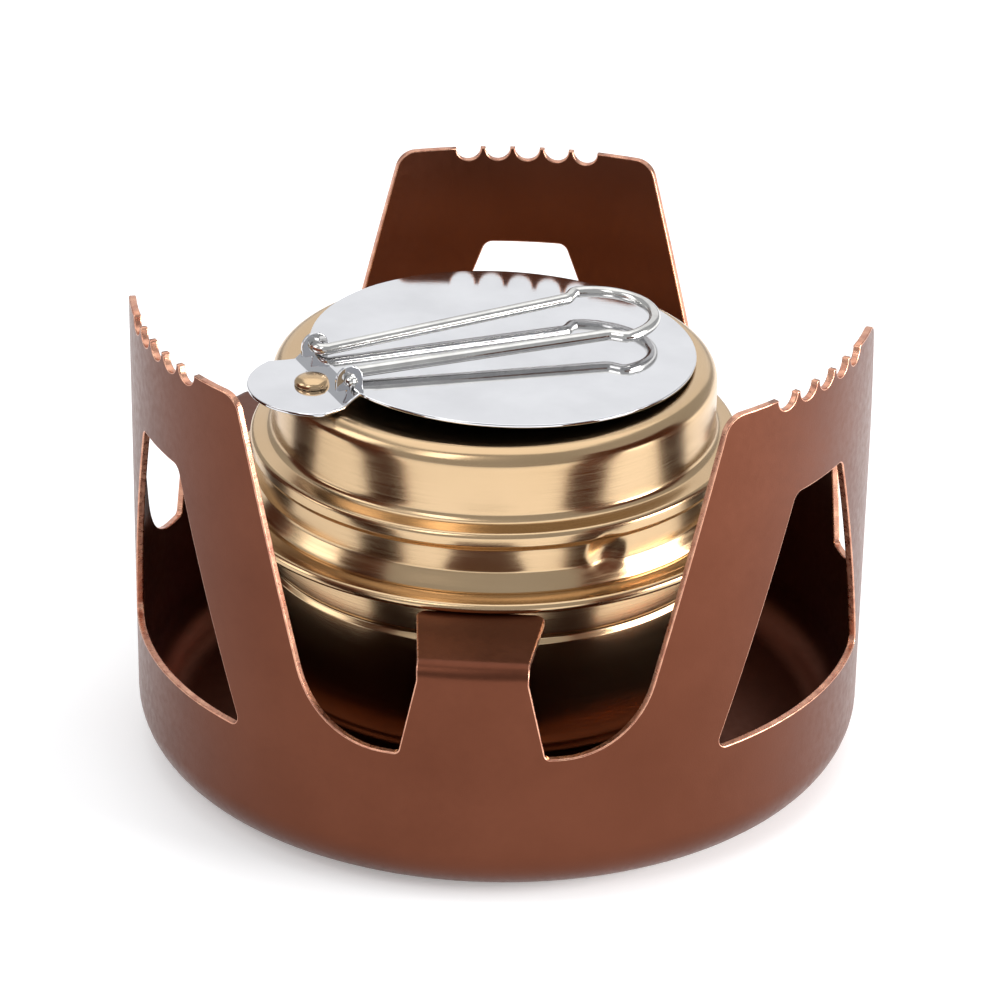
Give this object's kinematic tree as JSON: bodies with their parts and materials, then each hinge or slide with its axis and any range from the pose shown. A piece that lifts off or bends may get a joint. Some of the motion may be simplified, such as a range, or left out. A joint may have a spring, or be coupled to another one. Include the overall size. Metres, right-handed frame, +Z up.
{
  "type": "alcohol spirit stove",
  "caption": "Compact spirit stove: a copper-brown sheet stand with pot supports and windows, holding a brass burner with a simmer collar, a swinging steel lid and a folding wire handle.",
  "frame": {"origin": "centre of the stand's flat base, on the ground", "axes": "+Z up along the burner's axis; +Y through the middle of one pot support, +X to its right seen from the front tab"},
  "size_m": [0.1, 0.1, 0.066],
  "materials": {
    "anodised_sheet": "satin copper-brown anodising with bright cut edges",
    "brass": "turned and brushed, bright on the rims",
    "bright_steel": "polished, with fine scratches",
    "felt": "packed fibre felt"
  },
  "bodies": {
    "stand": {"stand": "anodised_sheet"},
    "burner": {"burner_cup": "brass", "burner_neck": "brass", "inner_wall": "brass", "wick": "felt"},
    "collar": {"simmer_collar": "brass", "pivot_washer": "bright_steel", "pivot_rivet": "brass"},
    "disc": {"regulator_disc": "bright_steel"},
    "handle": {"wire_handle": "bright_steel"}
  },
  "joints": [
    {"name": "burner_lift", "type": "slide", "parent": "stand", "child": "burner", "axis": [0, 0, 1], "range_m": [0, 0.06]},
    {"name": "collar_lift", "type": "slide", "parent": "burner", "child": "collar", "axis": [0, 0, 1], "range_m": [0, 0.03]},
    {"name": "disc_swing", "type": "hinge", "parent": "collar", "child": "disc", "pos_m": [-0.02454, -0.01119, 0.0545], "axis": [0, 0, 1], "range_deg": [-65, 65]},
    {"name": "handle_fold", "type": "hinge", "parent": "disc", "child": "handle", "pos_m": [-0.02209, -0.00984, 0.0579], "axis": [0.4848, -0.8746, 0], "range_deg": [0, 150]}
  ]
}
